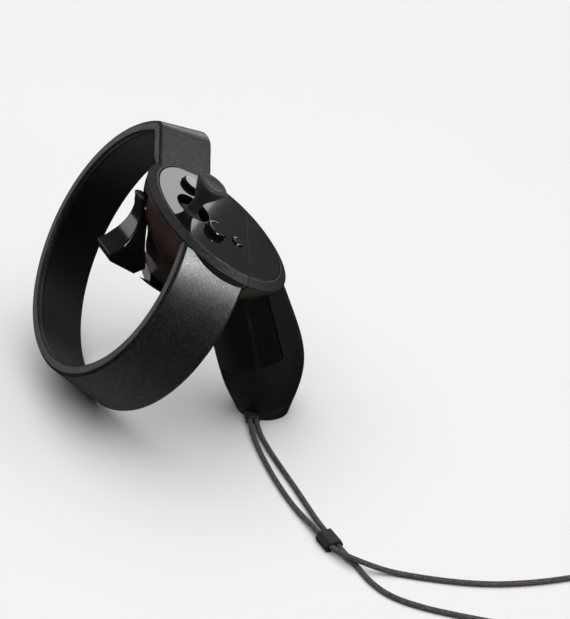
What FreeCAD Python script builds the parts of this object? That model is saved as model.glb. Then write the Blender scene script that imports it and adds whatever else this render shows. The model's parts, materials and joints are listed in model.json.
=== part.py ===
import FreeCAD, Part
import math
import os

# Right-hand VR motion controller, millimetres.
#
# The controller is drawn in its own working frame and then set down in its resting attitude:
#   working frame: +X to the user's right, +Y forward along the ring's axis, +Z up across the
#   ring, origin at the centre of the ring's front rim;
#   face frame: X across the face, Y forward, Z out of the face, origin on the glossy face;
#   grip frame: X across the handle, Y to its front, Z up along it, origin at the handle's top.
# At rest the controller stands on the bottom of the ring and on the foot at the handle's butt.

V = FreeCAD.Vector

# Tracking ring
RING_FRONT_RADIUS = 51.5
RING_REAR_RADIUS = 57.7
RING_WIDTH = 25.7
RING_WALL = 4.4
OUTER_SKIN = 1.8
INNER_SKIN = 1.6
RIM_DEPTH = 2.4
PART_LINE = 0.2
CORNER_FRONT = 5.5
CORNER_REAR = 13.0
CHORD_SLOPE = (0.80, 0.60)
CHORD_FRONT = (0.5, 37.3)
CHORD_REAR = (7.1, 41.1)
FAR_END_DROP = 2.2
FAIRING_REACH = 8.0
LED_COUNT = 15
LED_STEP = 15.0
LED_START = -80.0
LED_ROWS = (9.5, 16.0)

# Face
FACE_ORIGIN = V(-22.5, -13.0, 32.2)
FACE_ROLL = 14.2
FACE_CENTRE = (-1.5, -8.0)
FACE_LONG = 30.0
FACE_SHORT = 25.5
FACE_TURN = 30.0
PLATE_THICK = 2.0
PLATE_GAP = 0.15
BEZEL_LONG = 33.8
BEZEL_SHORT = 29.4
BEZEL_DROP = 2.2
SEAM_FRONT = 12.4
SEAM_REAR = -12.3
SEAM_SIDE = -15.0
REST_SEAM_ANGLE = -15.0
REST_SEAM_AT = (-28.4, -13.9)

# Head: half axes of its sections at their depth below the face
HEAD_SECTIONS = (
    # depth, centre x, centre y, long half axis, short half axis, turn
    (2.4, -1.5, -8.0, 33.4, 29.0, 30.0),
    (8.0, -1.5, -8.0, 30.6, 27.0, 34.0),
    (13.0, -1.5, -8.5, 26.4, 23.4, 42.0),
    (19.0, -0.8, -9.0, 20.6, 16.6, 56.0),
    (26.0, 0.8, -9.0, 16.2, 11.2, 72.0),
    (31.0, 1.8, -9.0, 14.6, 9.0, 84.0),
)
HEAD_WALL = 2.0
COLLAR_TOP = 31.0
COLLAR_BOTTOM = 34.6
COLLAR_LONG = 16.0
COLLAR_SHORT = 10.0
COLLAR_TURN = 84.0
COLLAR_CENTRE = (1.4, -7.6)

# Thumbstick
STICK_AT = (0.5, 4.0)
STICK_PIVOT_DEPTH = 8.0
STICK_HOLE = 7.3
STICK_STEM = 2.2
STICK_BALL = 7.3
STICK_CAP_RADIUS = 6.4
STICK_CAP_HEIGHT = 12.5
PAD_RADIUS = 5.0
STICK_ROOM = 8.2

# Buttons: place on the face, radius, height above the face
BUTTONS = {
    "button_lower": ((-9.8, -3.2), 4.3, 2.2),
    "button_upper": ((16.0, 0.6), 4.3, 1.8),
    "home_button": ((-9.8, -14.0), 2.6, 0.8),
}
BUTTON_ROUND = 0.75
BOARD_SCREWS = ((9.0, -10.0), (-12.0, -16.0), (2.0, -21.0))

# Handle
GRIP_TOP = V(-24.0, -40.0, 15.7)
GRIP_BOTTOM = V(-26.0, -88.6, -30.7)
GRIP_SECTIONS = (
    # height along the grip, centre y, half depth, half width
    (4.0, 0.0, 15.0, 12.6),
    (-14.0, -1.0, 16.4, 13.0),
    (-32.0, -1.8, 17.2, 13.4),
    (-46.0, -1.4, 16.2, 13.0),
    (-56.0, 0.2, 12.8, 11.2),
    (-63.0, 1.8, 9.8, 8.8),
    (-68.0, 2.4, 7.8, 7.0),
)
GRIP_WALL = 2.0
CELL_RADIUS = 7.25
CELL_LENGTH = 50.5
CELL_TOP = -2.0
BUTT_LINE = -57.5
GRIP_SCREWS_Y = (-5.0, 4.5)
GRIP_HINGE = (-3.9, 13.6)
GRIP_PIN_RADIUS = 0.6

# Trigger
TRIGGER_PIVOT = (6.4, 24.2)
TRIGGER_CENTRE_X = -15.0
TRIGGER_HALF_TOP = 3.6
TRIGGER_HALF_LIP = 7.0
PIN_RADIUS = 1.0
TRIGGER_GAP = 1.2
TRIGGER_ROUND = 0.5
POCKET_WALL = 1.6
PIN_HALF = 5.9
MAGNET_RADIUS = 1.4
MAGNET_DROP = (-2.5, -10.4)

# Resting attitude
REST_LEAN = 27.7
REST_TILT = 2.8
FLOOR_TRIM = 0.25

# Wrist strap, in the standing frame: one cord that leaves the butt, passes through the slider,
# runs round its loop on the floor and comes back through the slider to the butt
STRAP_DIAMETER = 2.0
STRAP_BEND_SHARE = 0.45
LIE = 1.05
THREAD = 2.05
HUMP = 6.05
STRAP_ROUTE = (
    (-37.93, -24.88, 2.1), (-44.2, -23.4, 1.4), (-53.5, -22.0, LIE), (-67.0, -20.9, LIE),
    (-82.0, -20.6, LIE), (-95.0, -21.3, LIE), (-106.5, -22.8, THREAD), (-121.5, -24.6, THREAD),
    (-128.0, -27.3, HUMP), (-133.5, -32.2, HUMP), (-136.5, -39.6, 2.4), (-140.6, -47.6, LIE),
    (-146.0, -59.0, LIE), (-150.6, -72.0, LIE), (-153.0, -86.0, LIE), (-153.8, -100.0, LIE),
    (-153.4, -114.0, LIE), (-157.5, -126.5, LIE), (-167.0, -134.0, LIE), (-178.5, -131.5, LIE),
    (-185.5, -121.0, LIE), (-186.5, -107.5, LIE), (-183.0, -93.0, LIE), (-177.0, -79.0, LIE),
    (-170.8, -65.8, LIE), (-164.2, -54.2, LIE), (-157.5, -43.5, LIE), (-149.5, -34.8, LIE),
    (-140.5, -31.1, LIE), (-131.0, -30.1, LIE), (-121.5, -27.6, THREAD), (-106.5, -25.8, THREAD),
    (-96.0, -26.3, LIE), (-82.0, -26.2, LIE), (-67.0, -25.7, LIE), (-54.0, -25.6, LIE),
    (-45.0, -26.0, 1.4), (-38.47, -27.32, 2.1),
)
FERRULE_AT = V(-38.2, -26.1, 2.1)
FERRULE_TOWARDS = V(0.976, -0.217, 0)
FERRULE_SIZE = (7.4, 2.9, 1.7)
SLIDER_AT = V(-116.3, -25.55, THREAD)
SLIDER_TOWARDS = V(0.9929, 0.1191, 0)
SLIDER_LENGTH = 7.8
SLIDER_HALF_WIDTH = 3.55
SLIDER_FOOT = 0.1
SLIDER_TOP = 4.3
SLOT_SPREAD = 1.5
SLOT_RADIUS = 1.4


def axes_placement(origin, x_axis, y_axis, z_axis):
    """Placement that carries local coordinates along the three axes from the origin."""
    matrix = FreeCAD.Matrix(
        x_axis.x, y_axis.x, z_axis.x, origin.x,
        x_axis.y, y_axis.y, z_axis.y, origin.y,
        x_axis.z, y_axis.z, z_axis.z, origin.z,
        0, 0, 0, 1)
    return FreeCAD.Placement(matrix)


def face_frame():
    roll = math.radians(FACE_ROLL)
    across = V(math.cos(roll), 0, math.sin(roll))
    outward = V(-math.sin(roll), 0, math.cos(roll))
    return axes_placement(FACE_ORIGIN, across, V(0, 1, 0), outward)


def grip_frame():
    upward = (GRIP_TOP - GRIP_BOTTOM).normalize()
    front = upward.cross(V(1, 0, 0)).normalize()
    return axes_placement(GRIP_TOP, front.cross(upward), front, upward)


def placed(shape, placement):
    """A copy of the shape carried from its local frame to the working frame."""
    moved = shape.copy()
    moved.transformShape(placement.toMatrix(), True)
    return moved


FACE = face_frame()
GRIP = grip_frame()


def biggest(shape):
    """The largest solid of a result, without the crumbs a cut may leave."""
    return max(shape.Solids, key=lambda solid: solid.Volume)


def cylinder(radius, low, high, at=(0.0, 0.0)):
    """Upright cylinder between two heights."""
    return Part.makeCylinder(radius, high - low, V(at[0], at[1], low))


def box(low, high):
    return Part.makeBox(high[0] - low[0], high[1] - low[1], high[2] - low[2], V(*low))


def ellipse_wire(centre, long_half, short_half, height, turn=0.0):
    """Flat ellipse at a height, its long half axis turned from +X."""
    ellipse = Part.Ellipse(V(0, 0, 0), long_half, short_half)
    wire = Part.Wire(ellipse.toShape())
    wire.rotate(V(0, 0, 0), V(0, 0, 1), turn)
    wire.translate(V(centre[0], centre[1], height))
    return wire


def turned_solid(points, centre=(0.0, 0.0)):
    """Solid turned about a vertical axis from (radius, height) points."""
    outline = Part.makePolygon([V(radius, 0, height) for radius, height in points])
    solid = Part.Face(outline).revolve(V(0, 0, 0), V(0, 0, 1), 360)
    solid.translate(V(centre[0], centre[1], 0))
    return Part.Solid(solid) if solid.ShapeType == "Shell" else solid


# ---------------------------------------------------------------- tracking ring

def ring_edge(inset, depth, drop):
    """One side of the ring's C-shaped outline at a depth behind the front rim.

    Returns the edges from the near end on the left, round the bottom to the top corner and
    down the straight far end. The ends stop at a line parallel to the face, `drop` below it
    at the left and FAR_END_DROP below it at the right.
    """
    share = depth / RING_WIDTH
    radius = RING_FRONT_RADIUS + (RING_REAR_RADIUS - RING_FRONT_RADIUS) * share - inset
    slope = V(CHORD_SLOPE[0], 0, CHORD_SLOPE[1])
    inward = V(CHORD_SLOPE[1], 0, -CHORD_SLOPE[0])
    foot = V(CHORD_FRONT[0], 0, CHORD_FRONT[1]) * (1 - share)
    foot += V(CHORD_REAR[0], 0, CHORD_REAR[1]) * share + inward * inset

    fillet = max(CORNER_FRONT + (CORNER_REAR - CORNER_FRONT) * share - inset, 0.8)
    centre_line = foot + inward * fillet
    along = centre_line.dot(slope)
    reach = radius - fillet
    run = -along + math.sqrt(along ** 2 - centre_line.dot(centre_line) + reach ** 2)
    centre = centre_line + slope * run
    on_circle = centre + V(centre).normalize() * fillet
    on_chord = centre - inward * fillet
    middle = centre + (on_circle + on_chord - centre * 2).normalize() * fillet

    roll = math.radians(FACE_ROLL)
    outward = V(-math.sin(roll), 0, math.cos(roll))
    across = V(math.cos(roll), 0, math.sin(roll))
    level = FACE_ORIGIN.dot(outward) - drop
    near = outward * level - across * math.sqrt(radius ** 2 - level ** 2)
    far_level = FACE_ORIGIN.dot(outward) - FAR_END_DROP
    far = on_chord - slope * ((on_chord.dot(outward) - far_level) / slope.dot(outward))

    shift = V(0, -depth, 0)
    points = [near, V(0, 0, -radius), on_circle, middle, on_chord, far]
    near, bottom, on_circle, middle, on_chord, far = [point + shift for point in points]
    return [
        Part.Arc(near, bottom, on_circle).toShape(),
        Part.Arc(on_circle, middle, on_chord).toShape(),
        Part.LineSegment(on_chord, far).toShape(),
    ]


def ring_outline(outer_inset, inner_inset, depth, drop):
    """Closed C-shaped wire between two insets from the ring's outside."""
    outer = ring_edge(outer_inset, depth, drop)
    inner = ring_edge(inner_inset, depth, drop)
    near_cap = Part.LineSegment(inner[0].firstVertex().Point, outer[0].firstVertex().Point)
    far_cap = Part.LineSegment(outer[2].lastVertex().Point, inner[2].lastVertex().Point)
    edges = [near_cap.toShape()] + outer + [far_cap.toShape()] + inner[::-1]
    return Part.Wire(Part.__sortEdges__(edges))


def ring_band(profile, drop=BEZEL_DROP):
    """Band of the ring from (depth, outer inset, inner inset) stations of its cross-section."""
    sections = [ring_outline(outer, inner, depth, drop) for depth, outer, inner in profile]
    return biggest(Part.makeLoft(sections, True, True))


def rounded(solid, edges, radius):
    """Round the edges, or leave the solid as it is where the kernel can't."""
    try:
        result = solid.makeFillet(radius, edges)
    except Exception:
        return solid
    good = result.isValid() and result.Volume > 0.5 * solid.Volume
    return biggest(result) if good else solid


def bezel_annulus():
    """Whole bevelled rim round the face, in the face frame."""
    top = ellipse_wire(FACE_CENTRE, FACE_LONG + 0.6, FACE_SHORT + 0.6, 0.0, FACE_TURN)
    foot = ellipse_wire(FACE_CENTRE, BEZEL_LONG, BEZEL_SHORT, -BEZEL_DROP + 0.5, FACE_TURN)
    base = ellipse_wire(FACE_CENTRE, BEZEL_LONG - 0.3, BEZEL_SHORT - 0.3, -BEZEL_DROP, FACE_TURN)
    solid = Part.makeLoft([base, foot, top], True, True)
    hole = ellipse_wire(FACE_CENTRE, FACE_LONG, FACE_SHORT, -10, FACE_TURN)
    return biggest(solid.cut(Part.Face(hole).extrude(V(0, 0, 20))))


def segment_block(gap):
    """Stretch of the bezel that belongs to the ring, grown by a gap."""
    low = (-60.0, SEAM_REAR - gap, -BEZEL_DROP - 3)
    high = (SEAM_SIDE + gap, SEAM_FRONT + gap, 3.0)
    return box(low, high)


def make_ring_outer():
    """Outer skin, full-thickness front rim and the ring's stretch of the bezel."""
    shell = ring_band([
        (0.0, 0.9, RING_WALL - 0.8),
        (0.25, 0.4, RING_WALL - 0.3),
        (0.9, 0.0, RING_WALL),
        (RIM_DEPTH, 0.0, RING_WALL),
        (RIM_DEPTH + 0.05, 0.0, OUTER_SKIN),
        (RING_WIDTH - 1.2, 0.0, OUTER_SKIN),
        (RING_WIDTH - 0.35, 0.45, OUTER_SKIN),
        (RING_WIDTH, 1.2, OUTER_SKIN),
    ])
    segment = placed(biggest(bezel_annulus().common(segment_block(0.0))), FACE)
    shell = shell.fuse(segment).fuse(ring_fairing())
    return biggest(shell.cut(upper_button_room()))


def ring_fairing():
    """Swell that carries the ring's outside up to the foot of its stretch of the bezel."""
    depth, x, y, long_half, short_half, turn = HEAD_SECTIONS[0]
    lip = ellipse_wire((x, y), long_half, short_half, -depth - 0.2, turn)
    lip = Part.Face(lip).extrude(V(0, 0, depth + 0.5 - BEZEL_DROP))
    plate = ellipse_wire(FACE_CENTRE, FACE_LONG + 0.1, FACE_SHORT + 0.1, -depth, FACE_TURN)
    lip = lip.cut(Part.Face(plate).extrude(V(0, 0, depth)))
    swell = placed(lip.fuse(head_loft(0.0)), FACE)
    outside = ring_band([(0.3, -FAIRING_REACH, 1.0), (RING_WIDTH - 0.4, -FAIRING_REACH, 1.0)],
                        BEZEL_DROP - 0.3)
    return min(swell.common(outside).Solids, key=lambda solid: solid.CenterOfMass.x)


def upper_button_room():
    """Room beside the ring's far end for the upper button."""
    place, radius, _ = BUTTONS["button_upper"]
    return placed(cylinder(radius + 0.3, -8.0, 5.0, place), FACE)


def make_ring_inner():
    """Inner liner with the flange that closes the ring's rear."""
    outer = RING_WALL - INNER_SKIN
    flange = OUTER_SKIN + 0.1
    liner = ring_band([
        (RIM_DEPTH + PART_LINE, outer, RING_WALL - 0.35),
        (RIM_DEPTH + 0.6, outer, RING_WALL),
        (RING_WIDTH - 2.2, outer, RING_WALL),
        (RING_WIDTH - 2.15, flange, RING_WALL),
        (RING_WIDTH - 1.2, flange, RING_WALL),
        (RING_WIDTH - 0.35, flange, RING_WALL - 0.4),
        (RING_WIDTH - 0.02, flange, RING_WALL - 1.2),
    ], BEZEL_DROP + PART_LINE)
    return biggest(liner.cut(upper_button_room()))


def make_led_flex():
    """Flexible strip that carries the infrared LEDs inside the ring."""
    outer = OUTER_SKIN + 0.45
    strip = ring_band([(6.0, outer, outer + 0.3), (RING_WIDTH - 6.0, outer, outer + 0.3)], 4.0)
    return biggest(strip.cut(upper_button_room()))


def make_leds():
    """Infrared LEDs in two staggered rows on the outside of the strip."""
    leds = []
    flare = math.degrees(math.atan((RING_REAR_RADIUS - RING_FRONT_RADIUS) / RING_WIDTH))
    for place in range(LED_COUNT):
        depth = LED_ROWS[place % len(LED_ROWS)]
        share = depth / RING_WIDTH
        radius = RING_FRONT_RADIUS + (RING_REAR_RADIUS - RING_FRONT_RADIUS) * share
        led = box((-0.8, -0.8, -0.12), (0.8, 0.8, 0.12))
        led.rotate(V(0, 0, 0), V(1, 0, 0), -flare)
        led.translate(V(0, -depth, radius - OUTER_SKIN - 0.24))
        led.rotate(V(0, 0, 0), V(0, 1, 0), LED_START - place * LED_STEP)
        leds.append(led)
    return Part.makeCompound(leds)


def ring_space(gap, reach=0.0):
    """Room that the ring's band takes and a reach outside it, for cutting its neighbours."""
    outer = -gap - reach
    return ring_band([(-gap, outer, RING_WALL + gap), (RING_WIDTH + gap, outer, RING_WALL + gap)],
                     BEZEL_DROP - gap)


# ---------------------------------------------------------------- face and head

def make_bezels():
    """Front and rear stretches of the bevelled rim, either side of the ring's own stretch."""
    bezel = placed(bezel_annulus().cut(segment_block(PART_LINE)), FACE)
    pieces = bezel.cut(ring_space(PART_LINE)).Solids
    pieces.sort(key=lambda solid: solid.CenterOfMass.y)
    return pieces[-1], pieces[0]


def face_blank():
    """Glossy face before it is split, with its holes."""
    outline = ellipse_wire(FACE_CENTRE, FACE_LONG - PLATE_GAP, FACE_SHORT - PLATE_GAP,
                           -PLATE_THICK, FACE_TURN)
    blank = Part.Face(outline).extrude(V(0, 0, PLATE_THICK))
    rim = [edge for edge in blank.Edges if edge.BoundBox.ZMin > -0.01]
    blank = rounded(blank, rim, 0.5)
    blank = blank.cut(cylinder(STICK_HOLE, -5, 5, STICK_AT))
    for place, radius, _ in BUTTONS.values():
        blank = blank.cut(cylinder(radius + 0.25, -5, 5, place))
    return blank


def rest_half(gap):
    """Everything behind the straight seam of the thumb rest, grown by a gap."""
    half = box((-60, -90 - gap, -10), (60, gap, 10))
    half.rotate(V(0, 0, 0), V(0, 0, 1), REST_SEAM_ANGLE)
    half.translate(V(REST_SEAM_AT[0], REST_SEAM_AT[1], 0))
    return half


def make_face_plate():
    plate = biggest(face_blank().cut(rest_half(0.08)))
    return biggest(placed(plate, FACE).cut(ring_space(PART_LINE)))


def make_thumb_rest():
    return biggest(placed(biggest(face_blank().common(rest_half(-0.08))), FACE))


def head_loft(inset):
    """Goblet of the head through its sections, moved inward by an inset."""
    wires = []
    for depth, x, y, long_half, short_half, turn in HEAD_SECTIONS:
        wires.append(ellipse_wire((x, y), long_half - inset, short_half - inset, -depth, turn))
    return Part.makeLoft(wires, True, False)


def trigger_taper(grow):
    """Front outline of the trigger, narrow at its pivot and wide at its lip."""
    z = TRIGGER_PIVOT[1]
    narrow = TRIGGER_HALF_TOP + grow
    wide = TRIGGER_HALF_LIP + grow
    right = [(narrow, z + 8), (narrow, z - 2), (wide, z - 16), (wide, z - 30)]
    left = [(-x, height) for x, height in right[::-1]]
    points = [V(x, 40, height) for x, height in right + left]
    outline = Part.Face(Part.makePolygon(points + points[:1])).extrude(V(0, -80, 0))
    outline.translate(V(TRIGGER_CENTRE_X, 0, 0))
    return outline


def trigger_well(wall=0.0):
    """Room in the head that the trigger needs over its travel, grown by a wall."""
    y, z = TRIGGER_PIVOT
    top = 4.6 + wall
    rear = [(-4.2, top), (-4.2, 1.0), (-8.4, -8.0), (-12.0, -13.0), (-16.8, -18.4), (-17.0, -26.0)]
    points = [V(-60, y + dy - wall, z + dz) for dy, dz in rear]
    points += [V(-60, y + 20, z - 26), V(-60, y + 20, z + top)]
    well = Part.Face(Part.makePolygon(points + points[:1])).extrude(V(90, 0, 0))
    return well.common(trigger_taper(TRIGGER_GAP + wall))


def make_head():
    """Hollow head under the face, with a walled pocket that the trigger swings in."""
    cavity = placed(head_loft(HEAD_WALL), FACE).cut(trigger_well(POCKET_WALL))
    shell = placed(head_loft(0.0), FACE).cut(cavity).cut(trigger_well())
    shell = biggest(shell.cut(ring_space(PART_LINE, FAIRING_REACH)))
    cell_room = cylinder(CELL_RADIUS + 1.8, -30.0, CELL_TOP + 2.6)
    shell = shell.cut(placed(cell_room, GRIP))
    shell = shell.cut(stick_place(cylinder(STICK_ROOM + 0.2, -5.2, 6.0)))
    pin_bore = x_cylinder(PIN_RADIUS + 0.03, TRIGGER_CENTRE_X - PIN_HALF,
                          TRIGGER_CENTRE_X + PIN_HALF, TRIGGER_PIVOT)
    return biggest(shell.cut(pin_bore))


def make_collar():
    """Flared collar that closes the foot of the head under the trigger."""
    wires = [
        ellipse_wire(COLLAR_CENTRE, long_half, short_half, -depth, COLLAR_TURN)
        for depth, long_half, short_half in (
            (COLLAR_TOP + 0.1, COLLAR_LONG - 1.6, COLLAR_SHORT - 1.6),
            (COLLAR_TOP + 1.2, COLLAR_LONG, COLLAR_SHORT),
            (COLLAR_BOTTOM - 1.2, COLLAR_LONG, COLLAR_SHORT),
            (COLLAR_BOTTOM, COLLAR_LONG - 1.6, COLLAR_SHORT - 1.6))]
    collar = placed(Part.makeLoft(wires, True, True), FACE)
    return biggest(collar.cut(trigger_well()))


def x_cylinder(radius, low, high, at):
    """Cylinder along X through a (y, z) place of the working frame."""
    return Part.makeCylinder(radius, high - low, V(low, at[0], at[1]), V(1, 0, 0))


# ---------------------------------------------------------------- trigger

def trigger_solid():
    """Curved lever: thin at its pivot, flared into a lip at the bottom."""
    y, z = TRIGGER_PIVOT
    front_top = V(0, y + 4.0, z + 2.6)
    front_mid = V(0, y + 0.0, z - 10.0)
    lip_tip = V(0, y + 5.0, z - 20.8)
    lip_under = V(0, y + 3.0, z - 23.4)
    heel_under = V(0, y - 8.4, z - 24.2)
    heel = V(0, y - 11.6, z - 20.6)
    back_low = V(0, y - 7.4, z - 13.8)
    back_mid = V(0, y - 5.2, z - 9.0)
    back_top = V(0, y - 2.4, z + 0.6)
    crown = V(0, y + 0.6, z + 3.4)
    edges = [
        Part.Arc(front_top, front_mid, lip_tip).toShape(),
        Part.LineSegment(lip_tip, lip_under).toShape(),
        Part.LineSegment(lip_under, heel_under).toShape(),
        Part.LineSegment(heel_under, heel).toShape(),
        Part.LineSegment(heel, back_low).toShape(),
        Part.Arc(back_low, back_mid, back_top).toShape(),
        Part.Arc(back_top, crown, front_top).toShape(),
    ]
    face = Part.Face(Part.Wire(edges))
    slab = face.extrude(V(80, 0, 0))
    slab.translate(V(TRIGGER_CENTRE_X - 40, 0, 0))
    lever = biggest(slab.common(trigger_taper(0.0)))
    return rounded(lever, lever.Edges, TRIGGER_ROUND)


def magnet_place(radius):
    """Cylinder along X inside the lever, where its magnet sits."""
    at = (TRIGGER_PIVOT[0] + MAGNET_DROP[0], TRIGGER_PIVOT[1] + MAGNET_DROP[1])
    return x_cylinder(radius, TRIGGER_CENTRE_X - 2.5, TRIGGER_CENTRE_X + 2.5, at)


def make_trigger():
    lever = trigger_solid()
    lever = lever.cut(x_cylinder(PIN_RADIUS + 0.05, -40, 10, TRIGGER_PIVOT))
    return biggest(lever.cut(magnet_place(MAGNET_RADIUS)))


def make_trigger_spring():
    """Turns of the spring that returns the trigger, round its pin beside the lever."""
    turns = []
    for turn in range(2):
        centre = V(TRIGGER_CENTRE_X + TRIGGER_HALF_TOP + 0.3 + turn * 0.45, *TRIGGER_PIVOT)
        coil = Part.makeTorus(1.5, 0.18, centre, V(1, 0, 0))
        turns.append(coil)
    return Part.makeCompound(turns)


# ---------------------------------------------------------------- thumbstick

def stick_place(shape):
    """Carry a shape drawn about the stick's pivot to the working frame."""
    moved = shape.copy()
    moved.translate(V(STICK_AT[0], STICK_AT[1], -STICK_PIVOT_DEPTH))
    return placed(moved, FACE)


def y_cylinder(radius, low, high, at=(0.0, 0.0)):
    """Cylinder along Y through an (x, z) place."""
    return Part.makeCylinder(radius, high - low, V(at[0], low, at[1]), V(0, 1, 0))


def make_stick_base():
    """Housing of the stick module, with bores for the gimbal's pins."""
    base = box((-8.6, -8.6, -5.0), (8.6, 8.6, 3.6))
    base = base.cut(Part.makeSphere(STICK_BALL + 0.35))
    base = base.cut(cylinder(STICK_BALL + 0.35, 0.0, 10.0))
    base = base.cut(x_cylinder(0.75, -10, 10, (0, 0)))
    return stick_place(biggest(base.common(cylinder(STICK_ROOM, -10.0, 10.0))))


def make_gimbal():
    """Ring that tips fore and aft on two pins, and holds the stem's cross pin."""
    ring = cylinder(6.0, -0.9, 0.9).cut(cylinder(4.2, -2, 2))
    for side in (-1, 1):
        low, high = sorted((side * 5.0, side * 8.0))
        ring = ring.fuse(x_cylinder(0.7, low, high, (0, 0)))
    return stick_place(biggest(ring.cut(y_cylinder(0.65, -10, 10))))


def make_stick():
    """Stem with its cross pin, dust dome and flared cap."""
    dome = Part.makeSphere(STICK_BALL).cut(Part.makeSphere(STICK_BALL - 0.7))
    dome = dome.common(cylinder(20, 3.0, 20))
    rim = STICK_PIVOT_DEPTH + STICK_CAP_HEIGHT
    cap = STICK_CAP_RADIUS
    profile = [
        (0.0, -3.0), (STICK_STEM, -3.0), (STICK_STEM, rim - 9.6), (STICK_STEM + 0.1, rim - 8.6),
        (2.7, rim - 7.6), (3.4, rim - 6.4), (4.2, rim - 5.2), (4.9, rim - 4.0),
        (5.5, rim - 2.8), (cap - 0.4, rim - 1.8), (cap, rim - 1.0), (cap - 0.1, rim - 0.4),
        (cap - 0.5, rim), (PAD_RADIUS + 0.1, rim), (PAD_RADIUS + 0.1, rim - 0.6), (0.0, rim - 0.6)]
    stick = turned_solid(profile + profile[:1]).fuse(dome)
    return stick_place(biggest(stick.fuse(y_cylinder(0.6, -5.8, 5.8))))


def make_stick_pad():
    """Dished rubber pad set in the top of the cap."""
    rim = STICK_PIVOT_DEPTH + STICK_CAP_HEIGHT
    pad = cylinder(PAD_RADIUS, rim - 0.55, rim + 0.15)
    dish_radius = 20.0
    dish = Part.makeSphere(dish_radius, V(0, 0, rim - 0.35 + dish_radius))
    return stick_place(biggest(pad.cut(dish)))


# ---------------------------------------------------------------- buttons

def make_button(name):
    """Round key with a domed top and a flange that keeps it under the face."""
    place, radius, height = BUTTONS[name]
    profile = [
        (0.0, -3.1), (radius + 0.9, -3.1), (radius + 0.9, -2.4), (radius, -2.4),
        (radius, height), (0.0, height)]
    key = turned_solid(profile + profile[:1], place)
    rim = [edge for edge in key.Edges if edge.BoundBox.ZMin > height - 0.01]
    return placed(rounded(key, rim, BUTTON_ROUND), FACE)


def make_membrane():
    """Silicone domes that push the three buttons back up."""
    domes = []
    for place, radius, _ in BUTTONS.values():
        rise = 1.2
        dome = Part.makeCone(radius - 0.2, radius - 1.2, rise, V(place[0], place[1], -5.4))
        domes.append(placed(dome, FACE))
    return Part.makeCompound(domes)


def make_button_board():
    """Small circuit board under the buttons, cut out round the stick module."""
    outline = ellipse_wire(FACE_CENTRE, 26.0, 22.0, -6.4, FACE_TURN)
    board = Part.Face(outline).extrude(V(0, 0, 0.9))
    opening = box((-9.2, -9.2, -12), (9.2, 9.2, 2))
    opening.translate(V(STICK_AT[0], STICK_AT[1], 0))
    board = placed(biggest(board.cut(opening)), FACE)
    return biggest(board.cut(ring_space(0.4)).cut(trigger_well(POCKET_WALL + 0.2)))


# ---------------------------------------------------------------- inside the head

def make_main_board():
    outline = ellipse_wire((-1.5, -10.0), 19.0, 16.0, -15.2, FACE_TURN)
    board = placed(Part.Face(outline).extrude(V(0, 0, 1.2)), FACE)
    for at in BOARD_SCREWS:
        board = board.cut(board_screw(at, 0.05))
    return biggest(board.cut(trigger_well(POCKET_WALL + 0.2)))


def make_chips():
    """Integrated circuits and a radio module on the underside of the main board."""
    chips = [
        box((-8.0, -17.0, -16.4), (-1.0, -10.0, -15.2)),
        box((2.0, -18.0, -16.2), (7.0, -13.0, -15.2)),
        box((-13.0, -12.0, -16.2), (-10.0, -8.0, -15.2)),
    ]
    return Part.makeCompound([placed(chip, FACE) for chip in chips])


def make_haptic():
    """Linear vibration motor lying under the main board."""
    return placed(cylinder(5.5, -22.5, -18.0, (-2.0, -14.0)), FACE)


def make_trigger_pin():
    return x_cylinder(PIN_RADIUS, TRIGGER_CENTRE_X - PIN_HALF, TRIGGER_CENTRE_X + PIN_HALF,
                      TRIGGER_PIVOT)


def board_screw(at, grow=0.0):
    """Screw through the main board, head on top, in the face frame."""
    shank = cylinder(0.7 + grow, -18.2, -14.0, at)
    head = cylinder(1.5 + grow, -14.0, -13.1, at)
    return placed(shank.fuse(head), FACE)


def make_board_screws():
    return Part.makeCompound([board_screw(at) for at in BOARD_SCREWS])


# ---------------------------------------------------------------- handle

def grip_loft(inset):
    """Handle's whole form between its end sections, moved inward by an inset."""
    wires = []
    for height, y, half_depth, half_width in GRIP_SECTIONS:
        wires.append(ellipse_wire((0, y), half_depth - inset, half_width - inset, height, 90))
    return Part.makeLoft(wires, True, False)


def head_space(gap):
    """Room that the head and its collar take, in the working frame."""
    room = placed(head_loft(-gap), FACE)
    wires = [ellipse_wire(COLLAR_CENTRE, COLLAR_LONG + gap, COLLAR_SHORT + gap, -depth,
                          COLLAR_TURN) for depth in (COLLAR_TOP - 1, COLLAR_BOTTOM + gap)]
    room = room.fuse(placed(Part.makeLoft(wires, True, True), FACE))
    bezel = ellipse_wire(FACE_CENTRE, BEZEL_LONG + gap, BEZEL_SHORT + gap, -3.0, FACE_TURN)
    return room.fuse(placed(Part.Face(bezel).extrude(V(0, 0, 10)), FACE))


def grip_skin():
    """Hollow handle before it is split, trimmed to the head above it."""
    hollow = grip_loft(GRIP_WALL).common(box((-30, -30, BUTT_LINE + 2.0), (30, 30, 2.5)))
    skin = grip_loft(0.0).cut(hollow)
    skin = skin.cut(box((-40, -40, -90), (40, 40, BUTT_LINE)))
    return biggest(placed(skin, GRIP).cut(head_space(0.15)))


def cover_block(gap):
    low = (5.0, -10.5 - gap, BUTT_LINE + 3.0 - gap)
    return placed(box(low, (25.0, 8.5 + gap, -4.0 + gap)), GRIP)


def paddle_block(gap):
    """Room of the grip button, with more gap at its rear edge, which swings inward."""
    low = (-25.0, -6.0 - 2.2 * gap, -34.0 - gap)
    return placed(box(low, (-3.0 + gap, 25.0, 8.0)), GRIP)


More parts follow.
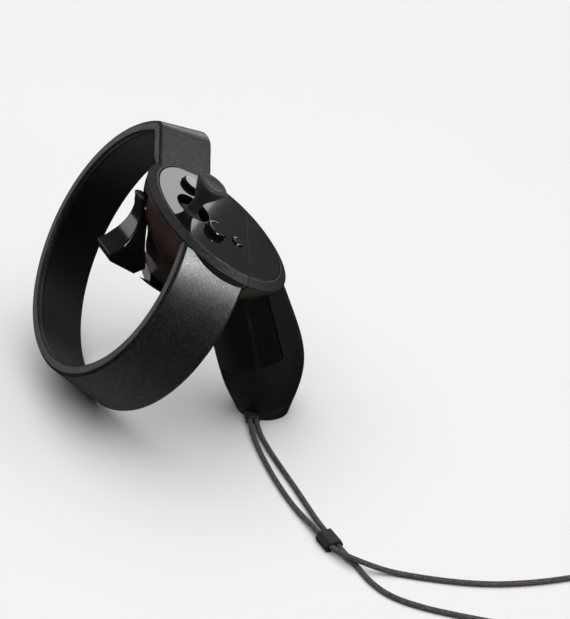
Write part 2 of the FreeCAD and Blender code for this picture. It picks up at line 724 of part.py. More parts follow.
def make_grip_halves(skin):
    """Left half with the grip button's opening, right half with the battery opening."""
    left = skin.common(placed(box((-30, -40, -90), (-PART_LINE / 2, 40, 30)), GRIP))
    right = skin.common(placed(box((PART_LINE / 2, -40, -90), (30, 40, 30)), GRIP))
    left = left.cut(paddle_block(0.35)).cut(grip_pin(0.03))
    right = right.cut(cover_block(0.2))
    for y in GRIP_SCREWS_Y:
        left = left.cut(grip_screw(y, 0.03))
        right = right.cut(grip_screw(y, 0.03))
    return biggest(left), biggest(right)


def grip_screw(y, grow=0.0):
    """Screw across the foot of the handle that pulls its halves together."""
    height = BUTT_LINE + 1.0
    shank = Part.makeCylinder(0.6 + grow, 13.0, V(-6.0, y, height), V(1, 0, 0))
    head = Part.makeCylinder(0.95 + grow, 1.4 + 20 * grow, V(7.0, y, height), V(1, 0, 0))
    return placed(shank.fuse(head), GRIP)


def make_grip_screws():
    return Part.makeCompound([grip_screw(y) for y in GRIP_SCREWS_Y])


def make_battery_cover(skin):
    right = skin.common(placed(box((PART_LINE / 2, -40, -90), (30, 40, 30)), GRIP))
    return biggest(right.common(cover_block(0.0)))


def grip_pin(grow=0.0):
    """Hinge pin behind the grip button's front edge."""
    return placed(cylinder(GRIP_PIN_RADIUS + grow, -38.0 - grow, -1.0, GRIP_HINGE), GRIP)


def make_grip_button():
    """Curved paddle on the handle's left, standing a little proud."""
    paddle = grip_loft(-0.9).cut(grip_loft(1.1))
    paddle = placed(paddle, GRIP).common(paddle_block(0.0))
    return biggest(paddle.cut(head_space(0.8)).cut(grip_pin(0.06)))


def make_butt_cap():
    """Rounded end of the handle; its underside is the foot the controller stands on."""
    lower = box((-40, -40, -90), (40, 40, BUTT_LINE - 0.15))
    cap = biggest(grip_loft(0.0).common(lower))
    socket = cylinder(6.0, BUTT_LINE - 2.0, BUTT_LINE, (0, 0))
    return placed(biggest(cap.cut(socket)), GRIP)


# ---------------------------------------------------------------- inside the handle

def make_cell():
    cell = cylinder(CELL_RADIUS, CELL_TOP - CELL_LENGTH + 1.0, CELL_TOP - 1.0)
    nub = cylinder(2.75, CELL_TOP - 1.0, CELL_TOP)
    return placed(cell.fuse(nub).removeSplitter(), GRIP)


def make_cradle():
    """Half-round bed for the cell."""
    bed = cylinder(8.7, CELL_TOP - CELL_LENGTH, CELL_TOP)
    bed = bed.cut(cylinder(7.5, -90, 10))
    return placed(biggest(bed.common(box((-9, -9, -90), (0, 9, 10)))), GRIP)


def make_contact_plate():
    plate = box((-4.5, -3.5, CELL_TOP + 0.1), (4.5, 3.5, CELL_TOP + 0.5))
    tab = box((-4.5, -1.5, CELL_TOP + 0.5), (-4.1, 1.5, CELL_TOP + 1.8))
    return placed(plate.fuse(tab).removeSplitter(), GRIP)


def make_contact_spring():
    """Conical contact spring under the cell, drawn as its stacked coils."""
    coils = []
    foot = CELL_TOP - CELL_LENGTH + 0.6
    for turn in range(4):
        coil = Part.makeTorus(5.0 - turn, 0.3)
        coil.translate(V(0, 0, foot - 2.2 + turn * 0.6))
        coils.append(placed(coil, GRIP))
    return Part.makeCompound(coils)


# ---------------------------------------------------------------- resting attitude

def rest_rotation():
    """Rotation from the working frame to the resting attitude."""
    lean = math.radians(REST_LEAN)
    tilt = math.radians(REST_TILT)
    up = V(-math.sin(tilt), math.sin(lean) * math.cos(tilt), math.cos(lean) * math.cos(tilt))
    forward = (V(0, 1, 0) - up * up.y).normalize()
    right = forward.cross(up)
    return FreeCAD.Placement(V(0, 0, 0), FreeCAD.Rotation(right, forward, up, "ZXY").inverted())


def stand(parts):
    """Turn every part to the resting attitude, trim what meets the floor, and put the
    origin on the floor under the middle of the controller. Returns the parts and the
    placement that carries the working frame there."""
    rotation = rest_rotation()
    turned = {name: placed(shape, rotation) for name, shape in parts.items()}
    floor = turned["ring_outer_shell"].optimalBoundingBox().ZMin + FLOOR_TRIM
    below = box((-200, -200, floor - 60), (200, 200, floor))
    for name in ("ring_outer_shell", "ring_inner_shell", "butt_cap"):
        turned[name] = biggest(turned[name].cut(below))
    bounds = FreeCAD.BoundBox()
    for shape in turned.values():
        bounds.add(shape.optimalBoundingBox())
    shift = V(-(bounds.XMin + bounds.XMax) / 2, -(bounds.YMin + bounds.YMax) / 2, -floor)
    standing = {}
    for name, shape in turned.items():
        moved = shape.copy()
        moved.translate(shift)
        standing[name] = moved
    return standing, FreeCAD.Placement(shift, FreeCAD.Rotation()).multiply(rotation)


# ---------------------------------------------------------------- wrist strap

def strap_path():
    """Straight runs joined by arcs as large as the runs allow, and the arcs' radii."""
    points = [V(*point) for point in STRAP_ROUTE]
    edges = []
    radii = []
    last = points[0]
    for before, corner, after in zip(points, points[1:], points[2:]):
        back = before - corner
        ahead = after - corner
        reach = STRAP_BEND_SHARE * min(back.Length, ahead.Length)
        half_turn = (math.pi - back.getAngle(ahead)) / 2
        radius = reach / math.tan(half_turn)
        middle = V(back).normalize() + V(ahead).normalize()
        middle = corner + middle.normalize() * (math.hypot(radius, reach) - radius)
        start = corner + V(back).normalize() * reach
        end = corner + V(ahead).normalize() * reach
        edges.append(Part.LineSegment(last, start).toShape())
        edges.append(Part.Arc(start, middle, end).toShape())
        radii.append(radius)
        last = end
    edges.append(Part.LineSegment(last, points[-1]).toShape())
    return Part.Wire(edges), radii


def make_strap():
    path, radii = strap_path()
    start = V(*STRAP_ROUTE[0])
    heading = V(*STRAP_ROUTE[1]) - start
    section = Part.Wire(Part.makeCircle(STRAP_DIAMETER / 2, start, heading))
    tube = biggest(path.makePipeShell([section], True, False))
    expected = math.pi * STRAP_DIAMETER ** 2 / 4 * path.Length
    print("strap length %.1f, volume ratio %.4f, radii" % (path.Length, tube.Volume / expected),
          [round(radius, 1) for radius in radii])
    return tube


def heading_frame(origin, towards):
    """Placement with its X axis along a level heading."""
    return axes_placement(origin, towards, V(0, 0, 1).cross(towards), V(0, 0, 1))


def ferrule_block(grow):
    """Rounded block from the strap's exit into the butt, drawn along X."""
    length, half_width, half_height = FERRULE_SIZE
    low = (-grow, -half_width - grow, -half_height - grow)
    block = box(low, (length + grow, half_width + grow, half_height + grow))
    long_edges = [edge for edge in block.Edges if abs(edge.tangentAt(0).x) > 0.9]
    block = rounded(block, long_edges, half_height * 0.9)
    return placed(block, heading_frame(FERRULE_AT, FERRULE_TOWARDS))


def make_slider():
    """Bevelled block with one slot for both strands of the strap."""
    foot = SLIDER_FOOT - SLIDER_AT.z
    top = SLIDER_TOP - SLIDER_AT.z
    half = SLIDER_HALF_WIDTH
    right = [(half - 0.7, foot), (half, foot + 0.9), (half, foot + 2.1), (half - 1.2, top)]
    left = [(-y, z) for y, z in right[::-1]]
    outline = [V(-SLIDER_LENGTH / 2, y, z) for y, z in right + left]
    block = Part.Face(Part.makePolygon(outline + outline[:1])).extrude(V(SLIDER_LENGTH, 0, 0))
    block = rounded(block, block.Edges, 0.3)
    slot = box((-10, -SLOT_SPREAD, -SLOT_RADIUS), (10, SLOT_SPREAD, SLOT_RADIUS))
    for side in (-1, 1):
        slot = slot.fuse(Part.makeCylinder(SLOT_RADIUS, 20, V(-10, side * SLOT_SPREAD, 0),
                                           V(1, 0, 0)))
    return placed(biggest(block.cut(slot)), heading_frame(SLIDER_AT, SLIDER_TOWARDS))


def add_strap(parts):
    """Fit the ferrule into the butt, and add the strap and its slider."""
    room = ferrule_block(0.05)
    for name in ("butt_cap", "grip_left"):
        parts[name] = biggest(parts[name].cut(room))
    parts["strap_ferrule"] = ferrule_block(0.0)
    parts["strap_slider"] = make_slider()
    parts["wrist_strap"] = make_strap()
    return parts


def write(parts):
    os.makedirs("parts", exist_ok=True)
    for name, shape in parts.items():
        shape.exportStep("parts/" + name + ".step")


def make_parts():
    bezel_front, bezel_rear = make_bezels()
    skin = grip_skin()
    grip_left, grip_right = make_grip_halves(skin)
    parts = {
        "ring_outer_shell": make_ring_outer(),
        "ring_inner_shell": make_ring_inner(),
        "ring_led_flex": make_led_flex(),
        "ring_leds": make_leds(),
        "bezel_front": bezel_front,
        "bezel_rear": bezel_rear,
        "face_plate": make_face_plate(),
        "thumb_rest": make_thumb_rest(),
        "head_shell": make_head(),
        "head_collar": make_collar(),
        "trigger_lever": make_trigger(),
        "trigger_pin": make_trigger_pin(),
        "trigger_magnet": magnet_place(MAGNET_RADIUS),
        "trigger_spring": make_trigger_spring(),
        "stick_base": make_stick_base(),
        "stick_gimbal": make_gimbal(),
        "stick_cap": make_stick(),
        "stick_pad": make_stick_pad(),
        "button_membrane": make_membrane(),
        "button_board": make_button_board(),
        "main_board": make_main_board(),
        "board_chips": make_chips(),
        "board_screws": make_board_screws(),
        "haptic_motor": make_haptic(),
        "grip_left": grip_left,
        "grip_right": grip_right,
        "battery_cover": make_battery_cover(skin),
        "grip_screws": make_grip_screws(),
        "grip_button": make_grip_button(),
        "grip_pin": grip_pin(),
        "butt_cap": make_butt_cap(),
        "battery_cell": make_cell(),
        "battery_cradle": make_cradle(),
        "contact_plate": make_contact_plate(),
        "contact_spring": make_contact_spring(),
    }
    for name in BUTTONS:
        parts[name] = make_button(name)
    return parts


if __name__ == "__main__":
    standing, _ = stand(make_parts())
    write(add_strap(standing))
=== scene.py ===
import json
import math

import bpy
import numpy as np
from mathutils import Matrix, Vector


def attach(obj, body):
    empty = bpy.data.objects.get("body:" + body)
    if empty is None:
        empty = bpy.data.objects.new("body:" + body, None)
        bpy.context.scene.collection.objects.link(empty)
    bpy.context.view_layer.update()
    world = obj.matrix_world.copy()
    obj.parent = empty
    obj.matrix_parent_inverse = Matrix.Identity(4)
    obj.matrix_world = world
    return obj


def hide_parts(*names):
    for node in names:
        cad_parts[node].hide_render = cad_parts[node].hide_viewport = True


# Right-hand VR motion controller, standing on a pale floor with its wrist strap beside it.
# Everything is in metres in the CAD frame: +X to the user's right, +Y forward, +Z up.

# Camera: roll in degrees, lens and sensor in millimetres
CAMERA_AT = (-0.6144, 0.2501, 0.4144)
CAMERA_LOOKS_AT = (-0.0364, -0.0334, 0.0504)
CAMERA_ROLL = 8.71
CAMERA_LENS = 113.7
CAMERA_SENSOR = 36.0
CLIP_NEAR = 0.01
CLIP_FAR = 20

# Wrist strap: heights of its middle on the floor, in the slider and over its other strand
LIE = 0.00105
THREAD = 0.00205
OVER = 0.0036

# The strap's route out from the butt, round its loop and back
STRAP_ROUTE = (
    (-0.03793, -0.02488, 0.0021), (-0.0442, -0.0234, 0.0014), (-0.0535, -0.0220, LIE),
    (-0.0670, -0.0209, LIE), (-0.0820, -0.0206, LIE), (-0.0950, -0.0213, LIE),
    (-0.1065, -0.0228, THREAD), (-0.1215, -0.0246, THREAD), (-0.1280, -0.0273, OVER),
    (-0.1335, -0.0322, OVER), (-0.1365, -0.0396, 0.0014), (-0.1406, -0.0476, LIE),
    (-0.1460, -0.0590, LIE), (-0.1506, -0.0720, LIE), (-0.1530, -0.0860, LIE),
    (-0.1538, -0.1000, LIE), (-0.1534, -0.1140, LIE), (-0.1575, -0.1265, LIE),
    (-0.1670, -0.1340, LIE), (-0.1785, -0.1315, LIE), (-0.1855, -0.1210, LIE),
    (-0.1865, -0.1075, LIE), (-0.1830, -0.0930, LIE), (-0.1770, -0.0790, LIE),
    (-0.1708, -0.0658, LIE), (-0.1642, -0.0542, LIE), (-0.1575, -0.0435, LIE),
    (-0.1495, -0.0348, LIE), (-0.1405, -0.0311, LIE), (-0.1310, -0.0301, LIE),
    (-0.1215, -0.0276, THREAD), (-0.1065, -0.0258, THREAD), (-0.0960, -0.0263, LIE),
    (-0.0820, -0.0262, LIE), (-0.0670, -0.0257, LIE), (-0.0540, -0.0256, LIE),
    (-0.0450, -0.0260, 0.0014), (-0.03847, -0.02732, 0.0021),
)

# The braid laid along that route
STRAP_DIAMETER = 0.0020
BRAID_PITCH = 0.0058
BRAID_CARRIERS = 5
STRAP_STEP = 0.0004
STRAP_SIDES = 20
STRAP_CURVE_STEPS = 24

# Rounding that the shading gives sharp edges
EDGE_ROUND = 0.00035

BEVEL_SAMPLES = 4

# Colours that several materials share
BLACK = (0.0030, 0.0026, 0.0026)
SOFT_BLACK = (0.0056, 0.0050, 0.0050)
# The face blacks are tinted brown: the brown is painted reflection of skin, used on the face
# plate, thumb rest and trigger.
FACE_BLACK = (0.0045, 0.0030, 0.0026)
FACE_PAINTED_SKIN_BROWN = (0.0080, 0.0054, 0.0046)

# The ring's satin plastic and its metal flecks
RING_BLACK = (0.0026, 0.0022, 0.0023)
RING_SOFT_BLACK = (0.0044, 0.0038, 0.0040)
RING_ROUGHNESS = 0.36
RING_GRAIN = 2600.0
RING_GRAIN_DEPTH = 0.00003
RING_GLEAM = 0.75
FLECK_COLOUR = (0.30, 0.30, 0.33, 1)
FLECK_SCALE = 2900.0
FLECK_FADE = ((0.15, 1.0), (0.30, 0.0))
FLECK_METALLIC = 0.7

# Moulded plastics by slot: name, dark and light colour, roughness, grain's scale and depth
PLASTICS = {
    "liner": ("liner satin", BLACK, SOFT_BLACK, 0.36, 1500.0, 0.00001),
    "bezel": ("bezel texture", (0.014, 0.014, 0.015), (0.024, 0.024, 0.026),
              0.40, 1900.0, 0.00006),
    # The head's brown tones are painted reflection of skin, not the plastic's own colour.
    "head": ("head satin with painted skin reflection", (0.028, 0.017, 0.013), (0.046, 0.029, 0.022),
             0.34, 1800.0, 0.00002),
    "handle": ("handle matt", BLACK, SOFT_BLACK, 0.48, 2100.0, 0.00005),
    "inner_plastic": ("inner moulding", (0.06, 0.065, 0.07), (0.09, 0.09, 0.1),
                      0.5, 1200.0, 0.00003),
    "chip": ("chip body", (0.01, 0.01, 0.01), (0.02, 0.02, 0.02), 0.6, 3000.0, 0.00002),
    "slider": ("slider moulding", (0.020, 0.018, 0.019), (0.034, 0.031, 0.032),
               0.34, 1600.0, 0.00003),
    "flex": ("polyimide film", (0.30, 0.13, 0.02), (0.42, 0.20, 0.04), 0.3, 900.0, 0.00001),
    "silicone": ("silicone", (0.020, 0.020, 0.021), (0.032, 0.032, 0.033),
                 0.5, 900.0, 0.00002),
}

# Polished plastics by slot: name, dark and light colour, roughness, clear coat
GLOSSES = {
    "face_gloss": ("face gloss", FACE_BLACK, FACE_PAINTED_SKIN_BROWN, 0.07, 0.6),
    "thumb_pad": ("thumb rest gloss", FACE_BLACK, FACE_PAINTED_SKIN_BROWN, 0.10, 0.5),
    "trigger": ("trigger gloss", FACE_BLACK, FACE_PAINTED_SKIN_BROWN, 0.16, 0.5),
    "button": ("key gloss", BLACK, SOFT_BLACK, 0.05, 1.0),
    "grip_gloss": ("grip gloss", BLACK, SOFT_BLACK, 0.18, 0.4),
    "led": ("led lens", (0.5, 0.5, 0.46), (0.6, 0.6, 0.55), 0.1, 0.5),
    "cell": ("cell sleeve", (0.02, 0.06, 0.2), (0.03, 0.09, 0.28), 0.2, 0.6),
}

# Metals by slot: name, dark and light colour, roughness
METALS = {
    "steel": ("steel", (0.42, 0.42, 0.43), (0.62, 0.62, 0.63), 0.3),
    "contact": ("plated contact", (0.55, 0.42, 0.18), (0.75, 0.62, 0.33), 0.28),
}

# Floor
FLOOR_HALF = 4.0
FLOOR_GREY = 0.86
FLOOR_DRIFT = 0.008

# Sky: brightness high up behind the controller, elsewhere and straight below it
SKY_HIGH = 0.12
SKY_DIM = 0.02
SKY_BELOW = 0.18
BEHIND_AND_UP = (0.3, -0.5, 0.8)
STRAIGHT_DOWN = (0.0, 0.0, -1.0)

# Softboxes, all aimed at MIDDLE: name, place, width, height, watts, turn in degrees, reflects
MIDDLE = (-0.02, -0.01, 0.05)
SOFTBOXES = (
    ("overhead", (0.0, 0.0, 2.2), 4.4, 4.4, 107, 0.0, False),
    ("ring key", (-0.92, -0.27, 0.63), 0.42, 0.36, 10, 0.0, True),
    ("face sheen", (0.865, -0.751, 0.432), 0.30, 0.80, 1.2, 28.5, True),
    ("front rim", (0.99, 0.80, 0.14), 0.6, 0.5, 1.0, 0.0, True),
    ("far end", (0.05, -1.25, 0.80), 0.9, 0.7, 1.6, 0.0, True),
)

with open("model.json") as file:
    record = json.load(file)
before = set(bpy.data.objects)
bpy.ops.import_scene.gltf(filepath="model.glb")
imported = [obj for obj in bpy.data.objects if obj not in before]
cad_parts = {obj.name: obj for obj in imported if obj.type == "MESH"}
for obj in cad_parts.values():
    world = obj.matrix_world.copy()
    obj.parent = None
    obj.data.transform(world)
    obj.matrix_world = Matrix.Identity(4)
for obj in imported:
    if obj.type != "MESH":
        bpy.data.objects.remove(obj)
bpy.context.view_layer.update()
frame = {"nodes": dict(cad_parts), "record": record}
nodes = frame["nodes"]


# ---------------------------------------------------------------- camera

def add_camera():
    """The scene's camera, where the photograph was taken from."""
    data = bpy.data.cameras.new("camera")
    data.lens = CAMERA_LENS
    data.sensor_width = CAMERA_SENSOR
    data.clip_start = CLIP_NEAR
    data.clip_end = CLIP_FAR
    camera = bpy.data.objects.new("camera", data)
    bpy.context.scene.collection.objects.link(camera)
    camera.location = CAMERA_AT
    heading = Vector(CAMERA_LOOKS_AT) - Vector(CAMERA_AT)
    aim = heading.to_track_quat("-Z", "Y")
    camera.rotation_euler = aim.to_euler()
    camera.rotation_euler.rotate_axis("Z", math.radians(CAMERA_ROLL))
    bpy.context.scene.camera = camera


# ---------------------------------------------------------------- materials

class Shader:
    """A material's node tree with short calls for the nodes used here."""

    def __init__(self, name):
        self.material = bpy.data.materials.new(name)
        self.material.use_nodes = True
        self.tree = self.material.node_tree
        self.surface = self.tree.nodes["Principled BSDF"]

    def node(self, kind, **settings):
        node = self.tree.nodes.new(kind)
        for key, value in settings.items():
            setattr(node, key, value)
        return node

    def join(self, source, target):
        self.tree.links.new(source, target)

    def value(self, **numbers):
        for key, number in numbers.items():
            self.surface.inputs[key.replace("_", " ")].default_value = number

    def place(self):
        return self.node("ShaderNodeTexCoord").outputs["Object"]

    def noise(self, scale, detail=3.0, rough=0.6, where=None):
        noise = self.node("ShaderNodeTexNoise")
        noise.inputs["Scale"].default_value = scale
        noise.inputs["Detail"].default_value = detail
        noise.inputs["Roughness"].default_value = rough
        self.join(where or self.place(), noise.inputs["Vector"])
        return noise.outputs["Fac"]

    def cells(self, scale, feature="F1"):
        cells = self.node("ShaderNodeTexVoronoi", feature=feature)
        cells.inputs["Scale"].default_value = scale
        self.join(self.place(), cells.inputs["Vector"])
        return cells

    def ramp(self, source, stops):
        """Colour ramp from (position, grey or colour) stops."""
        ramp = self.node("ShaderNodeValToRGB")
        elements = ramp.color_ramp.elements
        while len(elements) < len(stops):
            elements.new(0.5)
        for element, (position, colour) in zip(elements, stops):
            element.position = position
            grey = isinstance(colour, float)
            element.color = (colour, colour, colour, 1) if grey else (*colour, 1)
        self.join(source, ramp.inputs["Fac"])
        return ramp.outputs["Color"]

    def span(self, source, low, high, start=0.0, end=1.0):
        """Map a value from start..end to low..high."""
        span = self.node("ShaderNodeMapRange")
        span.inputs["From Min"].default_value = start
        span.inputs["From Max"].default_value = end
        span.inputs["To Min"].default_value = low
        span.inputs["To Max"].default_value = high
        self.join(source, span.inputs["Value"])
        return span.outputs["Result"]

    def maths(self, operation, first, second=0.0):
        maths = self.node("ShaderNodeMath", operation=operation)
        for slot, value in enumerate((first, second)):
            if isinstance(value, float):
                maths.inputs[slot].default_value = value
            else:
                self.join(value, maths.inputs[slot])
        return maths.outputs["Value"]

    def soft_edges(self, radius):
        """Normal that rounds the piece's sharp edges by a radius."""
        bevel = self.node("ShaderNodeBevel", samples=BEVEL_SAMPLES)
        bevel.inputs["Radius"].default_value = radius
        return bevel.outputs["Normal"]

    def bump(self, height, depth, strength=1.0, below=None):
        bump = self.node("ShaderNodeBump")
        bump.inputs["Distance"].default_value = depth
        bump.inputs["Strength"].default_value = strength
        self.join(height, bump.inputs["Height"])
        if below is not None:
            self.join(below, bump.inputs["Normal"])
        self.join(bump.outputs["Normal"], self.surface.inputs["Normal"])
        return bump.outputs["Normal"]

    def colour(self, source):
        self.join(source, self.surface.inputs["Base Color"])

    def roughness(self, source):
        self.join(source, self.surface.inputs["Roughness"])


def moulded_plastic(name, dark, light, rough, grain, grain_depth, gleam=0.4):
    """Moulded plastic: slow colour drift, handling marks in its sheen and spark-eroded grain."""
    shader = Shader(name)
    shader.colour(shader.ramp(shader.noise(60.0, 4.0), [(0.3, dark), (0.7, light)]))
    marks = shader.noise(220.0, 5.0, 0.7)
    shader.roughness(shader.span(marks, rough - 0.05, rough + 0.06, 0.3, 0.7))
    slow = shader.bump(shader.noise(90.0, 2.0), 0.00004, 0.15, shader.soft_edges(EDGE_ROUND))
    shader.bump(shader.noise(grain, 2.0, 0.5), grain_depth, 0.6, slow)
    shader.value(IOR=1.5, Specular_IOR_Level=gleam)
    return shader


def sparkle_plastic():
    """Satin black of the ring: fine grain with tiny metal flecks that catch the light."""
    shader = moulded_plastic("ring satin grain", RING_BLACK, RING_SOFT_BLACK, RING_ROUGHNESS,
                             RING_GRAIN, RING_GRAIN_DEPTH, RING_GLEAM)
    flecks = shader.ramp(shader.cells(FLECK_SCALE).outputs["Distance"], FLECK_FADE)
    mix = shader.node("ShaderNodeMix", data_type="RGBA")
    shader.join(flecks, mix.inputs["Factor"])
    base = shader.surface.inputs["Base Color"].links[0].from_socket
    shader.join(base, mix.inputs["A"])
    mix.inputs["B"].default_value = FLECK_COLOUR
    shader.colour(mix.outputs["Result"])
    shader.join(shader.span(flecks, 0.0, FLECK_METALLIC), shader.surface.inputs["Metallic"])
    return shader.material


def gloss_plastic(name, dark, light, rough, coat):
    """Polished plastic with faint orange peel and fine handling haze."""
    shader = Shader(name)
    shader.colour(shader.ramp(shader.noise(45.0, 3.0), [(0.35, dark), (0.65, light)]))
    haze = shader.noise(140.0, 6.0, 0.75)
    shader.roughness(shader.span(haze, rough * 0.7, rough * 1.6, 0.3, 0.75))
    shader.bump(shader.noise(160.0, 2.0), 0.00003, 0.12, shader.soft_edges(EDGE_ROUND))
    shader.value(Coat_Weight=coat, Coat_Roughness=0.03, IOR=1.52)
    return shader.material


def stick_rubber():
    """Matt rubber with a soft bloom and fine pores."""
    shader = Shader("stick rubber")
    dark, light = (0.009, 0.009, 0.010), (0.018, 0.018, 0.020)
    shader.colour(shader.ramp(shader.noise(120.0, 5.0), [(0.3, dark), (0.7, light)]))
    shader.roughness(shader.span(shader.noise(400.0, 4.0), 0.48, 0.66, 0.3, 0.7))
    pores = shader.cells(3200.0).outputs["Distance"]
    shader.bump(pores, 0.00003, 0.5, shader.soft_edges(EDGE_ROUND))
    shader.value(Sheen_Weight=0.12, Sheen_Roughness=0.5)
    return shader.material


def metal(name, dark, light, rough):
    """Turned metal with fine machining lines and a little tarnish."""
    shader = Shader(name)
    shader.colour(shader.ramp(shader.noise(500.0, 5.0), [(0.35, dark), (0.7, light)]))
    shader.roughness(shader.span(shader.noise(1500.0, 3.0), rough - 0.08, rough + 0.12))
    shader.bump(shader.noise(3000.0, 2.0), 0.00001, 0.4)
    shader.value(Metallic=1.0)
    return shader.material


def circuit_board():
    """Black solder mask over copper tracks."""
    shader = Shader("circuit board")
    tracks = shader.cells(260.0, "DISTANCE_TO_EDGE").outputs["Distance"]
    copper, mask = (0.030, 0.026, 0.018), (0.006, 0.007, 0.007)
    shader.colour(shader.ramp(tracks, [(0.03, copper), (0.07, mask)]))
    shader.roughness(shader.span(shader.noise(300.0), 0.25, 0.45))
    shader.bump(tracks, 0.00003, 0.4)
    return shader.material


def braid_material():
    """Round braid: carriers crossing both ways, black with pale flecked yarns."""
    shader = Shader("strap braid")
    uv = shader.node("ShaderNodeTexCoord").outputs["UV"]
    axes = shader.node("ShaderNodeSeparateXYZ")
    shader.join(uv, axes.inputs["Vector"])
    along, around = axes.outputs["X"], axes.outputs["Y"]
    turn = 2 * math.pi * BRAID_CARRIERS

    def carrier(direction):
        skew = shader.maths("MULTIPLY", along, direction)
        phase = shader.maths("MULTIPLY", shader.maths("ADD", around, skew), turn)
        return shader.maths("SINE", phase)

    one = carrier(1.0)
    other = carrier(-1.0)
    weave = shader.maths("MULTIPLY", one, other)
    lift = shader.maths("MAXIMUM", shader.maths("ABSOLUTE", one), shader.maths("ABSOLUTE", other))
    black, pale = (0.007, 0.007, 0.007), (0.170, 0.158, 0.140)
    crossings = shader.span(weave, 0.0, 1.0, -1.0, 1.0)
    yarn = shader.ramp(crossings, [(0.38, black), (0.80, pale)])
    flecks = shader.ramp(shader.noise(1300.0, 2.0), [(0.42, 0.45), (0.66, 1.6)])
    mix = shader.node("ShaderNodeMix", data_type="RGBA", blend_type="MULTIPLY")
    mix.inputs["Factor"].default_value = 1.0
    shader.join(yarn, mix.inputs["A"])
    shader.join(flecks, mix.inputs["B"])
    shader.colour(mix.outputs["Result"])
    fibres = shader.bump(shader.noise(5200.0, 2.0), 0.00005, 0.5)
    shader.bump(lift, 0.00012, 0.9, fibres)
    shader.roughness(shader.span(shader.noise(900.0), 0.55, 0.8))
    shader.value(Sheen_Weight=0.15)
    return shader.material


def make_materials():
    """One material for each slot that the record names."""
    materials = {
        "ring_shell": sparkle_plastic(),
        "stick": stick_rubber(),
        "board": circuit_board(),
        "braid": braid_material(),
    }
    for slot, look in PLASTICS.items():
        materials[slot] = moulded_plastic(*look).material
    for slot, look in GLOSSES.items():
        materials[slot] = gloss_plastic(*look)
    for slot, look in METALS.items():
        materials[slot] = metal(*look)
    return materials


def finish_nodes(materials):
    """Give each CAD node its slot's material."""
    slots = {part["node"]: part["material_slot"] for part in frame["record"]["subparts"]}
    for name, piece in nodes.items():
        piece.data.materials.clear()
        piece.data.materials.append(materials[slots[name]])


# ---------------------------------------------------------------- wrist strap

def strap_curve():
    """The strap's centreline: one open spline with the route's points."""
    curve = bpy.data.curves.new("strap route", "CURVE")
    curve.dimensions = "3D"
    curve.resolution_u = STRAP_CURVE_STEPS
    spline = curve.splines.new("NURBS")
    spline.points.add(len(STRAP_ROUTE) - 1)
    for point, place in zip(spline.points, STRAP_ROUTE):
        point.co = (*place, 1.0)
    spline.order_u = 3
    spline.use_endpoint_u = True
    return curve


def strap_line():
    """Evenly spaced points read from the strap's spline, and how far along it each lies."""
    holder = bpy.data.objects.new("strap route", strap_curve())
    mesh = bpy.data.meshes.new_from_object(holder)
    raw = np.array([vertex.co[:] for vertex in mesh.vertices])
    bpy.data.objects.remove(holder)
    gone = np.concatenate([[0.0], np.cumsum(np.linalg.norm(np.diff(raw, axis=0), axis=1))])
    count = int(gone[-1] / STRAP_STEP) + 1
    even = np.linspace(0.0, gone[-1], count)
    return np.stack([np.interp(even, gone, raw[:, axis]) for axis in range(3)], axis=1), even


def strap_rings(line):
    """Rows of points, one ring of them round each place on the strap's line."""
    ahead = np.gradient(line, axis=0)
    ahead /= np.linalg.norm(ahead, axis=1)[:, None]
    side = np.cross(ahead, (0.0, 0.0, 1.0))
    side /= np.linalg.norm(side, axis=1)[:, None]
    up = np.cross(side, ahead)
    angles = np.linspace(0.0, 2 * math.pi, STRAP_SIDES, endpoint=False)
    radius = STRAP_DIAMETER / 2
    return line[:, None] + radius * (side[:, None] * np.cos(angles)[None, :, None]
                                     + up[:, None] * np.sin(angles)[None, :, None])


def strap_faces(gone):
    """Faces between neighbouring rings and over both ends, with each corner's UV."""
    faces = []
    corners = []
    for row in range(len(gone) - 1):
        for column in range(STRAP_SIDES):
            after = (column + 1) % STRAP_SIDES
            low, high = row * STRAP_SIDES, (row + 1) * STRAP_SIDES
            faces.append((low + column, low + after, high + after, high + column))
            start, end = gone[row] / BRAID_PITCH, gone[row + 1] / BRAID_PITCH
            left, right = column / STRAP_SIDES, (column + 1) / STRAP_SIDES
            corners += [(start, left), (start, right), (end, right), (end, left)]
    last = (len(gone) - 1) * STRAP_SIDES
    faces.append(tuple(range(STRAP_SIDES))[::-1])
    faces.append(tuple(range(last, last + STRAP_SIDES)))
    corners += [(0.0, 0.0)] * (2 * STRAP_SIDES)
    return faces, corners


def strap_mesh(line, gone, material):
    """Tube along the strap's line, with UVs that run along and around it for the braid."""
    faces, corners = strap_faces(gone)
    mesh = bpy.data.meshes.new("strap")
    mesh.from_pydata(strap_rings(line).reshape(-1, 3).tolist(), [], faces)
    layer = mesh.uv_layers.new(name="along")
    layer.data.foreach_set("uv", np.array(corners).ravel())
    mesh.polygons.foreach_set("use_smooth", [True] * len(mesh.polygons))
    mesh.materials.append(material)
    return mesh


def make_strap(material):
    """The braided strap, which stands in for the CAD's plain tube."""
    line, gone = strap_line()
    strap = bpy.data.objects.new("strap_braid", strap_mesh(line, gone, material))
    bpy.context.scene.collection.objects.link(strap)
    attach(strap, "body")
    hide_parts("wrist_strap")


# ---------------------------------------------------------------- floor and lights

def floor_material():
    """Matt pale grey with a slow drift in tone."""
    shader = Shader("pale floor")
    tint = shader.noise(3.0, 2.0)
    low, high = FLOOR_GREY - FLOOR_DRIFT, FLOOR_GREY + FLOOR_DRIFT
    shader.colour(shader.ramp(tint, [(0.3, low), (0.7, high)]))
    shader.value(Roughness=0.9, Specular_IOR_Level=0.1)
    return shader.material


def add_floor():
    """The floor, which is kept out of the controller's reflections."""
    mesh = bpy.data.meshes.new("floor")
    half = FLOOR_HALF
    mesh.from_pydata([(-half, -half, 0), (half, -half, 0), (half, half, 0), (-half, half, 0)],
                     [], [(0, 1, 2, 3)])
    mesh.materials.append(floor_material())
    floor = bpy.data.objects.new("floor", mesh)
    bpy.context.scene.collection.objects.link(floor)
    floor.visible_glossy = False


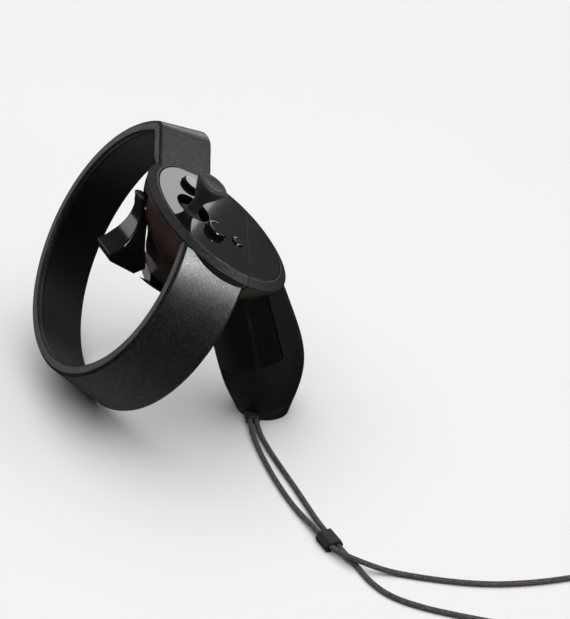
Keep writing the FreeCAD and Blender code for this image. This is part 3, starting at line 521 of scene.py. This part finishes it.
def add_softbox(name, place, width, height, watts, turn, reflects):
    """Soft rectangular light aimed at the controller and turned about its own axis.

    A light that reflects adds only sheen; one that doesn't adds only even light.
    """
    data = bpy.data.lights.new(name, "AREA")
    data.shape = "RECTANGLE"
    data.size = width
    data.size_y = height
    data.energy = watts
    light = bpy.data.objects.new(name, data)
    bpy.context.scene.collection.objects.link(light)
    light.location = place
    heading = Vector(MIDDLE) - Vector(place)
    light.rotation_euler = heading.to_track_quat("-Z", "Y").to_euler()
    light.rotation_euler.rotate_axis("Z", math.radians(turn))
    light.visible_glossy = reflects
    light.visible_diffuse = not reflects


def sky_glow(tree, direction, towards, start, end, dim, bright):
    """Brightness that rises from dim to bright as a direction turns towards a given one."""
    dot = tree.nodes.new("ShaderNodeVectorMath")
    dot.operation = "DOT_PRODUCT"
    dot.inputs[1].default_value = towards
    tree.links.new(direction, dot.inputs[0])
    span = tree.nodes.new("ShaderNodeMapRange")
    span.inputs["From Min"].default_value = start
    span.inputs["From Max"].default_value = end
    span.inputs["To Min"].default_value = dim
    span.inputs["To Max"].default_value = bright
    tree.links.new(dot.outputs["Value"], span.inputs["Value"])
    return span.outputs["Result"]


def add_sky():
    """Dark studio all round, paler high up behind the controller and straight below it."""
    world = bpy.data.worlds.new("studio")
    bpy.context.scene.world = world
    world.use_nodes = True
    tree = world.node_tree
    direction = tree.nodes.new("ShaderNodeTexCoord").outputs["Generated"]
    high = sky_glow(tree, direction, BEHIND_AND_UP, 0.1, 0.9, SKY_DIM, SKY_HIGH)
    below = sky_glow(tree, direction, STRAIGHT_DOWN, 0.7, 1.0, 0.0, SKY_BELOW)
    both = tree.nodes.new("ShaderNodeMath")
    both.operation = "ADD"
    tree.links.new(high, both.inputs[0])
    tree.links.new(below, both.inputs[1])
    tree.links.new(both.outputs["Value"], tree.nodes["Background"].inputs["Color"])


add_camera()
materials = make_materials()
make_strap(materials["braid"])
finish_nodes(materials)
add_floor()
add_sky()
for softbox in SOFTBOXES:
    add_softbox(*softbox)
bpy.context.scene.view_settings.view_transform = "Standard"
